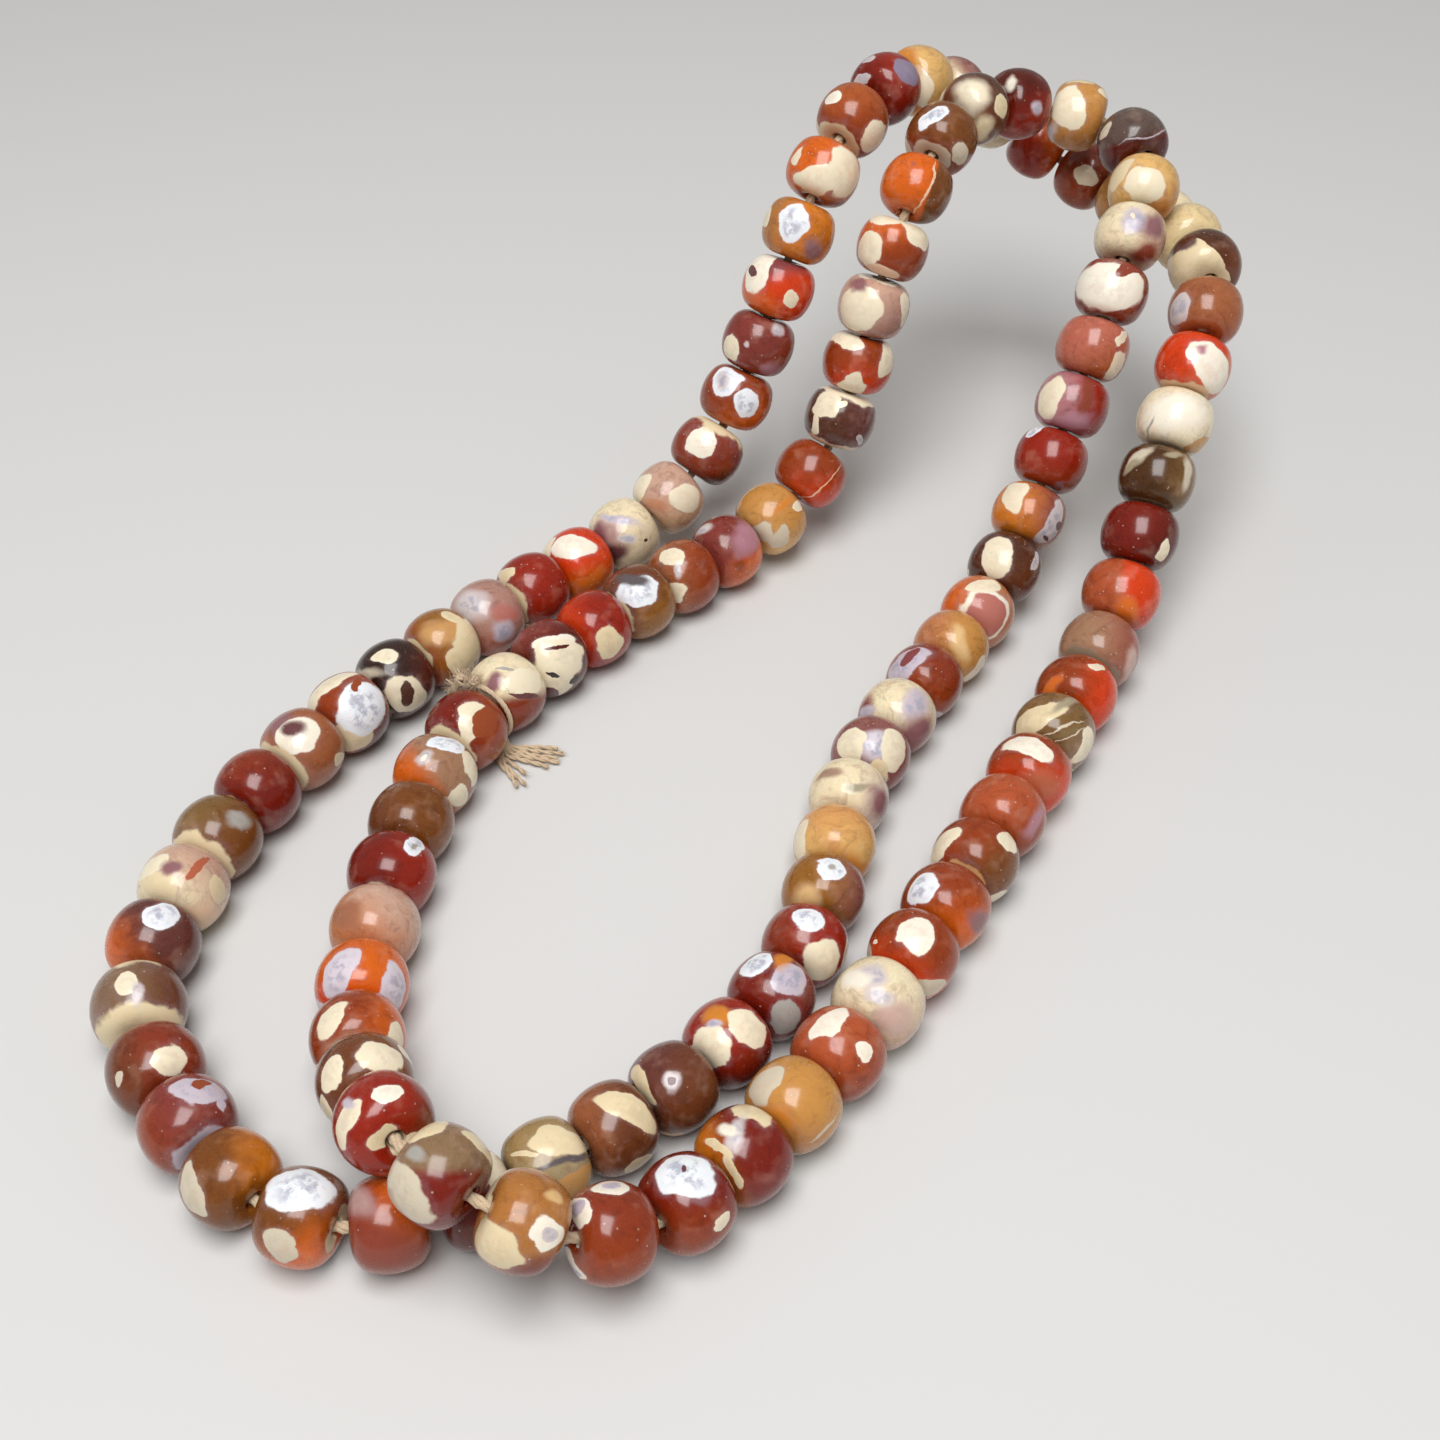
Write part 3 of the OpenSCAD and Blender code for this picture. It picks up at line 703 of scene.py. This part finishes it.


# %% [markdown]
# ## The agate
#
# Polished agate is slightly translucent: light enters, wanders and comes out tinted. The stone is made of
# two colours, a cloud that lets them drift, and fine bands. The second colour is partly the agate's own dye
# and partly a painted glow, light seen through the stone, mostly towards its lower rim. The etching turns
# the skin opaque and a little duller, its edge is crisp but never quite even, and a mauve haze often lies
# round it where the dye drew back. Eight mark slots are painted in turn, so that a dark mark over a white
# one leaves a ring or a crescent.

# %% Agate material
RADIUS_M = BEAD_D / 2 * MM
WAVY = 0.4
RAGGED = 0.1
HAZE_REACH = 1.28
TO_MIDDLE = (-0.5, -0.5, -0.5)
BANDS = 34
PIT_SCALE = 5.5
PIT_SHARE = 0.15
SKIN_BUMP = 0.00002
BAND_TINT = (0.62, 0.5, 0.45, 1)
VEIN_TINT = (0.5, 0.4, 0.4, 1)
GLOW_TINT = (0.6, 0.4, 0.3, 1)
HAZE_TINT = (0.47, 0.36, 0.42, 1)
CLOUD_TINT = (0.3, 0.32, 0.42, 1)
STAIN_TINT = (0.8, 0.66, 0.5, 1)
PIT_TINT = (0.68, 0.52, 0.42, 1)


def agate_material():
    graph = Graph("etched_agate")
    object_place = graph.node("ShaderNodeTexCoord", output="Object")
    place = object_place.scaled(1 / RADIUS_M)
    local = graph.attribute("local")
    drift = graph.noise(place, scale=1.5, detail=1, output="Color").shifted(TO_MIDDLE)
    fray = graph.noise(place, scale=5.5, detail=2, roughness=0.6, output="Color").shifted(TO_MIDDLE)
    skin = local.shifted(drift.scaled(WAVY)).shifted(fray.scaled(RAGGED))
    cloud = graph.noise(place, scale=1.9, detail=2, roughness=0.6)
    veins = graph.noise(place.shifted(drift.scaled(1.5)), scale=3.2, detail=3, roughness=0.65)

    # The two stones drift into each other, with fine bands and darker clouds in them. The second stone is
    # partly the agate's own dye and partly a painted glow of light seen through the stone
    lean = local.dot(graph.attribute("way")) + graph.attribute("way_at", "Fac")
    change = (lean + (cloud - 0.5) * 0.6).smooth(0, 1)
    stone = graph.mix(change, graph.attribute("stone"), graph.attribute("second"))
    bands = graph.noise(place.shifted(drift.scaled(2.2)), scale=2.4, detail=1)
    bands = bands.maths("SINE", bands * BANDS) * 0.5 + 0.5
    stone = graph.mix(bands * 0.14, stone, graph.mix(1.0, stone, BAND_TINT, "MULTIPLY"))
    stone = graph.mix(veins.smooth(0.46, 0.72) * 0.5, stone, graph.mix(1.0, stone, VEIN_TINT, "MULTIPLY"))
    stone = graph.mix(cloud.smooth(0.52, 0.75) * 0.3, stone, graph.mix(0.5, stone, GLOW_TINT, "SCREEN"))

    marks = []
    haze = None
    for slot in range(SLOTS):
        along = graph.attribute(f"along_{slot}")
        over = graph.attribute(f"over_{slot}")
        tone = graph.attribute(f"tone_{slot}")
        edge = graph.attribute(f"edge_{slot}", "Fac")
        near = skin.dot(along.vector("CROSS_PRODUCT", over)).over(0.0)
        x = skin.dot(along)
        y = skin.dot(over)
        squared = x * x + y * y
        reach = squared.maths("SQRT", squared)
        clouded = edge.over(0.9)
        blur = edge - clouded
        inside = (1 + blur - reach).smooth(0, 2 * blur) * near
        pale = tone.dot((0.4, 0.4, 0.4)).smooth(0.16, 0.4)
        core = (0.9 - reach).smooth(0, 0.45)
        ring = (HAZE_REACH - reach).smooth(0, HAZE_REACH - 1) * near * pale
        haze = ring if haze is None else haze.largest(ring)
        marks.append((inside, core, tone, clouded, pale))

    haze = haze * veins.smooth(0.34, 0.62) * 0.3
    colour = graph.mix(haze, stone, graph.mix(0.6, stone, HAZE_TINT))
    etched = 0.0
    milky = graph.noise(place, scale=4.5, detail=3, roughness=0.65).smooth(0.4, 0.62)
    grain = graph.noise(place, scale=19, detail=2, roughness=0.7)
    for inside, core, tone, clouded, pale in marks:
        # In its middle the etched skin is thin: the stone shows through, or a blue-grey cloud
        under = graph.mix(clouded * 0.85, graph.mix(0.55, tone, stone), CLOUD_TINT)
        tint = graph.mix(milky * core * pale * (0.25 + clouded * 0.5), tone, under)
        stained = graph.mix(1.0, tint, STAIN_TINT, "MULTIPLY")
        tint = graph.mix(grain.smooth(0.56, 0.76) * 0.25 * pale, tint, stained)
        colour = graph.mix(inside, colour, tint)
        etched = inside * pale + (1 - inside) * etched

    # Pits and tiny chips of the polish
    pit_values = {"Vector": place, "Scale": PIT_SCALE, "Randomness": 1.0}
    pits = graph.node("ShaderNodeTexVoronoi", pit_values, output="Distance")
    pit = (PIT_SHARE - pits).smooth(0, 0.07) * veins.over(0.53)
    colour = graph.mix(pit * 0.55, colour, PIT_TINT)
    rough = 0.22 + etched * 0.1 + grain * 0.1
    graph.set(Base_Color=colour, Roughness=rough, Normal=graph.bump(grain, 0.25, SKIN_BUMP), IOR=1.54,
              Specular_IOR_Level=0.15, Coat_Weight=0.62, Coat_IOR=1.5, Coat_Roughness=0.14,
              Subsurface_Weight=0.3, Subsurface_Radius=(1.0, 0.42, 0.26), Subsurface_Scale=0.0011)
    return graph.material


agate = agate_material()
for piece, _ in bead_pieces:
    piece.data.materials.append(agate)
print("agate nodes:", len(agate.node_tree.nodes))

# %% [markdown]
# ## Cotton strands
#
# The beads hang on a bundle of undyed cotton. Real thread is spun: fibres are twisted into a ply, and plies
# into a strand. Each ply here is a curve with a round bevel, wound about its strand's line, and the curves
# become one mesh. A curve is quick to wind and thin to store, and it stays a true tube through every bend.

# %% Winding strands
NEARLY_UP = (0.2, 0.1, 1)


def along_frames(points, closed=False):
    """Two directions square to a path at each of its points, turning as little as they can."""
    if closed:
        ways = np.roll(points, -1, axis=0) - np.roll(points, 1, axis=0)
    else:
        ways = np.gradient(points, axis=0)
    ways = ways / lengths(ways)[:, None]
    side = unit(np.cross(ways[0], NEARLY_UP))
    frames = []
    for way in ways:
        side = unit(side - (side @ way) * way)
        frames.append((side, np.cross(way, side)))
    return frames


def wound(points, frames, offset, start, turns_per_mm, closed=False):
    """The line of one ply, wound about a path at a distance from it."""
    marks = np.concatenate([[0], np.cumsum(lengths(np.diff(points, axis=0)))])
    if closed:
        whole = round(marks[-1] * turns_per_mm)
        turns_per_mm = whole / (marks[-1] + lengths(points[:1] - points[-1:])[0])
    turn = start + math.tau * turns_per_mm * marks
    sides = np.array([f[0] for f in frames])
    ups = np.array([f[1] for f in frames])
    return points + offset * (np.cos(turn)[:, None] * sides + np.sin(turn)[:, None] * ups)


def strand_object(name, lines, sides=2):
    """One mesh of strands; a line is its points, radius, whether it closes, and its share at the tip."""
    curve = bpy.data.curves.new(name, "CURVE")
    curve.dimensions = "3D"
    curve.bevel_depth = 1 * MM
    curve.bevel_resolution = sides
    curve.use_fill_caps = True
    for points, radius, closed, tip in lines:
        spline = curve.splines.new("POLY")
        spline.points.add(len(points) - 1)
        spline.use_cyclic_u = closed
        spline.points.foreach_set("co", np.hstack([points * MM, np.ones((len(points), 1))]).ravel())
        spline.points.foreach_set("radius", radius * np.linspace(1, tip, len(points)))
    holder = bpy.data.objects.new(name, curve)
    scene.collection.objects.link(holder)
    bpy.context.view_layer.update()
    mesh = bpy.data.meshes.new_from_object(holder.evaluated_get(bpy.context.evaluated_depsgraph_get()))
    bpy.data.objects.remove(holder)
    mesh.name = name
    mesh.shade_smooth()
    piece = bpy.data.objects.new(name, mesh)
    scene.collection.objects.link(piece)
    return piece


# %% Thread
STRANDS = 4
STRAND_R = 0.34
THREAD_TURNS = 0.16
SAMPLES = 6

shares = np.arange(SAMPLES) / SAMPLES
path = (ends[:, None] + shares[None, :, None] * (np.roll(ends, -1, axis=0) - ends)[:, None]).reshape(-1, 3)
path = (np.roll(path, 1, axis=0) + 2 * path + np.roll(path, -1, axis=0)) / 4
path_frames = along_frames(path, closed=True)
strand_lines = []
for strand in range(STRANDS):
    start = math.tau * strand / STRANDS
    line = wound(path, path_frames, THREAD_D / 2 - STRAND_R, start, THREAD_TURNS, closed=True)
    strand_lines.append((line, STRAND_R, True, 1))
thread = strand_object("cotton_thread", strand_lines)
print("thread:", len(thread.data.polygons), "faces")

# %% [markdown]
# ## The knot and its cut ends
#
# The thread is tied off in the groove between two beads. Strands wrap the groove, a frayed lump stands out
# at the upper left, and eight short ends leave under the right side and fan out on the ground. Every end is
# a two-ply twist, and loose fibres stand off the lump and off the cut tips.

# %% Sizes of the knot, in millimetres
KNOT_BEAD = 67
WRAP_D = 0.7
LUMP_D = 1.9
END_D = 0.7
END_L = 7.2
SPREAD_L = 3.2
KNOT_GAP = 0.28
END_LEAVE = math.radians(48)
LEAVE_SHARE = 0.04
KNEE_SHARE = 0.4
END_OUT = 0.5
LUMPS = [(26, 0.75), (50, 1), (76, 0.8)]
CUT_ENDS = [
    (26, 0.82, -0.06), (23, 0.97, 0.09), (19, 0.9, 0.25), (17, 1, 0.41),
    (11, 0.86, 0.56), (-12, 0.6, 0.72), (-21, 0.8, 0.85), (-27, 0.74, 1)]
random.seed(67)


def groove_seat(thickness):
    """How far from the string a round strand seats in the groove."""
    reach = SHOULDER_R + thickness / 2 + KNOT_GAP
    return SHOULDER_X + math.sqrt(reach ** 2 - (SHOULDER_R + BEAD_GAP / 2) ** 2)


knot_at = ends[KNOT_BEAD]
knot_along = unit(axes[KNOT_BEAD] + axes[KNOT_BEAD - 1])
knot_left = unit(np.cross([0, 0, 1], knot_along))
knot_up = np.cross(knot_along, knot_left)


def knot_point(left, up, along):
    return knot_at + left * knot_left + up * knot_up + along * knot_along


def scatter(size):
    return np.array([random.gauss(0, size) for _ in range(3)])


# %% Wrap, lump and ends
WRAP_PLIES = 4
WRAP_PLY_R = 0.16
WRAP_POINTS = 72
LUMP_LOOPS = 5
LUMP_STUBS = 4
LUMP_PLY_R = 0.22
LOOP_POINTS = 20
END_PLIES = 2
END_PLY_R = 0.21
END_POINTS = 30
END_ROUNDS = 4
END_WAVE = 0.25
KNOT_TURNS = 0.3
FIBRE_R = 0.025
LUMP_FIBRES = 170
TIP_FIBRES = 16
SHED_POINTS = (8, 27)
STUB_SPLAY = 4
STUB_REACH = (0.3, 0.8, 1.2, 1.5)
LUMP_REACH = (0.7, 0.95, 1.2, 1.4)
TIP_REACH = (0, 0.4, 0.7, 1)
SHED_REACH = (0.2, 0.5, 0.8, 1)

knot_lines = []
wrap_turns = np.linspace(0, math.tau, WRAP_POINTS, endpoint=False)
wrap_r = groove_seat(WRAP_D)
wrap_path = np.array([knot_point(wrap_r * math.cos(t), wrap_r * math.sin(t), 0) for t in wrap_turns])
wrap_frames = along_frames(wrap_path, closed=True)
for ply in range(WRAP_PLIES):
    start = math.tau * ply / WRAP_PLIES
    line = wound(wrap_path, wrap_frames, WRAP_D / 2 - WRAP_PLY_R, start, KNOT_TURNS, closed=True)
    knot_lines.append((line, WRAP_PLY_R, True, 1))

fibre_lines = []
loop_turns = np.linspace(0, math.tau, LOOP_POINTS, endpoint=False)
for lump_turn, share in LUMPS:
    turn = math.radians(lump_turn)
    reach = groove_seat(LUMP_D * share)
    middle = knot_point(reach * math.cos(turn), reach * math.sin(turn), 0)
    radius = LUMP_D * share / 2
    loop_r = radius - LUMP_PLY_R
    for _ in range(LUMP_LOOPS):
        first = unit(scatter(1))
        second = unit(np.cross(first, scatter(1)))
        loop = [middle + loop_r * (math.cos(t) * first + math.sin(t) * second) for t in loop_turns]
        knot_lines.append((np.array(loop), LUMP_PLY_R, True, 1))
    for _ in range(LUMP_STUBS):
        out = unit(middle - knot_at + knot_along * random.uniform(-STUB_SPLAY, STUB_SPLAY) + scatter(1.5))
        bend = scatter(0.3)
        stub = [middle + out * radius * s + bend * s * s for s in STUB_REACH]
        knot_lines.append((np.array(stub), LUMP_PLY_R * 0.7, False, 0.6))
    for _ in range(LUMP_FIBRES):
        out = unit(scatter(1))
        bend = scatter(0.35)
        fibre = [middle + out * radius * s + bend * s * s for s in LUMP_REACH]
        fibre_lines.append((np.array(fibre), FIBRE_R, False, 0.5))

ground_up = GROUND_Z - knot_at[2] + END_D / 2 + KNOT_GAP
for degrees, share, spread in CUT_ENDS:
    turn = math.radians(degrees)
    start = -SPREAD_L * spread
    leave = np.array([-wrap_r * math.cos(END_LEAVE), -wrap_r * math.sin(END_LEAVE), start * LEAVE_SHARE])
    knee = np.array([leave[0] - END_D, ground_up, start * KNEE_SHARE])
    fan = np.array([knee[0] - END_OUT, ground_up, start])
    tip = fan + END_L * share * np.array([-math.cos(turn), 0, math.sin(turn)])
    corners = np.array([leave, knee, fan, tip])
    corner_marks = np.concatenate([[0], np.cumsum(lengths(np.diff(corners, axis=0)))])
    at = np.linspace(0, corner_marks[-1], END_POINTS)
    low = np.stack([np.interp(at, corner_marks, corners[:, k]) for k in range(3)], axis=1)
    for _ in range(END_ROUNDS):
        low[1:-1] = (low[:-2] + 2 * low[1:-1] + low[2:]) / 4
    low[:, 2] += random.uniform(-END_WAVE, END_WAVE) * np.sin(math.tau * at / at[-1])
    points = np.array([knot_point(*p) for p in low])
    end_frames = along_frames(points)
    for ply in range(END_PLIES):
        line = wound(points, end_frames, END_D / 2 - END_PLY_R, math.tau * ply / END_PLIES, KNOT_TURNS)
        knot_lines.append((line, END_PLY_R * random.uniform(0.95, 1.1), False, 0.8))
    way = unit(points[-1] - points[-3])
    for _ in range(TIP_FIBRES):
        root = points[-3] + scatter(0.14)
        bend = scatter(0.22)
        bend[2] = abs(bend[2]) * 0.5
        fibre = [root + way * 0.9 * s + bend * s * s for s in TIP_REACH]
        fibre_lines.append((np.array(fibre), FIBRE_R, False, 0.5))
    for _ in range(TIP_FIBRES):
        root = points[random.randrange(*SHED_POINTS)] + scatter(0.12)
        bend = scatter(0.3)
        bend[2] = abs(bend[2]) * 0.7
        fibre = [root + bend * s + way * 0.3 * s * s for s in SHED_REACH]
        fibre_lines.append((np.array(fibre), FIBRE_R * 0.8, False, 0.4))

knot = strand_object("cotton_knot", knot_lines)
fibres = strand_object("cotton_fibres", fibre_lines, sides=0)
print("knot:", len(knot.data.polygons), "faces; fibres:", len(fibre_lines))


# %% Cotton material
COTTON_DARK = (0.45, 0.32, 0.19, 1)
COTTON_PALE = (0.72, 0.57, 0.4, 1)
COTTON_SOILED = (0.42, 0.28, 0.16, 1)
COTTON_BUMP = 0.00006


def cotton_material():
    graph = Graph("spun_cotton")
    place = graph.node("ShaderNodeTexCoord", output="Object").scaled(1 / MM)
    spun = graph.noise(place, scale=9, detail=4, roughness=0.7)
    soiled = graph.noise(place, scale=0.9, detail=3)
    colour = graph.mix(spun.smooth(0.3, 0.7), COTTON_DARK, COTTON_PALE)
    colour = graph.mix(soiled.smooth(0.45, 0.75) * 0.35, colour, COTTON_SOILED)
    normal = graph.bump(spun, 0.5, COTTON_BUMP)
    graph.set(Base_Color=colour, Roughness=0.86 + spun * 0.1, Normal=normal, Sheen_Weight=0.25,
              Subsurface_Weight=0.15, Subsurface_Radius=(1.0, 0.7, 0.4), Subsurface_Scale=0.0004)
    return graph.material


cotton = cotton_material()
for piece in (thread, knot, fibres):
    piece.data.materials.append(cotton)
print("cotton nodes:", len(cotton.node_tree.nodes))

# %% [markdown]
# ## Floor and light
#
# One large softbox hangs almost straight overhead, a little towards the camera. It gives each bead the
# single soft upright gleam just above its middle. A weak world light opens the shadows.

# %% Floor
FLOOR_HALF = 3.0
FLOOR_COLOUR = (0.6, 0.595, 0.585, 1)

floor_shape = bmesh.new()
bmesh.ops.create_grid(floor_shape, x_segments=1, y_segments=1, size=FLOOR_HALF)
bmesh.ops.translate(floor_shape, verts=floor_shape.verts, vec=(0, 0, GROUND_Z * MM))
floor_mesh = bpy.data.meshes.new("floor")
floor_shape.to_mesh(floor_mesh)
floor_shape.free()
floor = bpy.data.objects.new("floor", floor_mesh)
scene.collection.objects.link(floor)
floor_look = Graph("pale_floor")
floor_look.set(Base_Color=FLOOR_COLOUR, Roughness=0.75)
floor_mesh.materials.append(floor_look.material)
print("floor at", round(GROUND_Z, 2), "mm")

# %% Lights
SOFTBOX_DISTANCE = 0.75
SOFTBOX_WIDE = 0.42
SOFTBOX_LONG = 0.58
SOFTBOX_WATTS = 6.6
WORLD_COLOUR = (1.0, 0.98, 0.95, 1)
WORLD_STRENGTH = 0.28
TARGET = Vector((-0.037, -0.08, -0.04))
TO_SOFTBOX = Vector((-0.06, -0.31, 0.95)).normalized()

softbox = bpy.data.objects.new("softbox", bpy.data.lights.new("softbox", "AREA"))
scene.collection.objects.link(softbox)
softbox.location = TARGET + TO_SOFTBOX * SOFTBOX_DISTANCE
softbox.rotation_euler = (-TO_SOFTBOX).to_track_quat("-Z", "Y").to_euler()
softbox.data.shape = "RECTANGLE"
softbox.data.size = SOFTBOX_WIDE
softbox.data.size_y = SOFTBOX_LONG
softbox.data.energy = SOFTBOX_WATTS

world = bpy.data.worlds.new("studio")
scene.world = world
world.use_nodes = True
world.node_tree.nodes["Background"].inputs["Color"].default_value = WORLD_COLOUR
world.node_tree.nodes["Background"].inputs["Strength"].default_value = WORLD_STRENGTH
scene.view_settings.view_transform = "Standard"
print("softbox at", [round(c, 3) for c in softbox.location])

# %% [markdown]
# ## Handing over
#
# Each piece rides the root body, and the CAD node that it stands for is hidden.

# %% Rides and hidden nodes
for piece, node in bead_pieces:
    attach(piece, "root")
    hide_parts(node)
for piece, node in ((thread, "thread"), (knot, "knot_tuft"), (fibres, "knot_tuft")):
    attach(piece, "root")
    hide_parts(node)
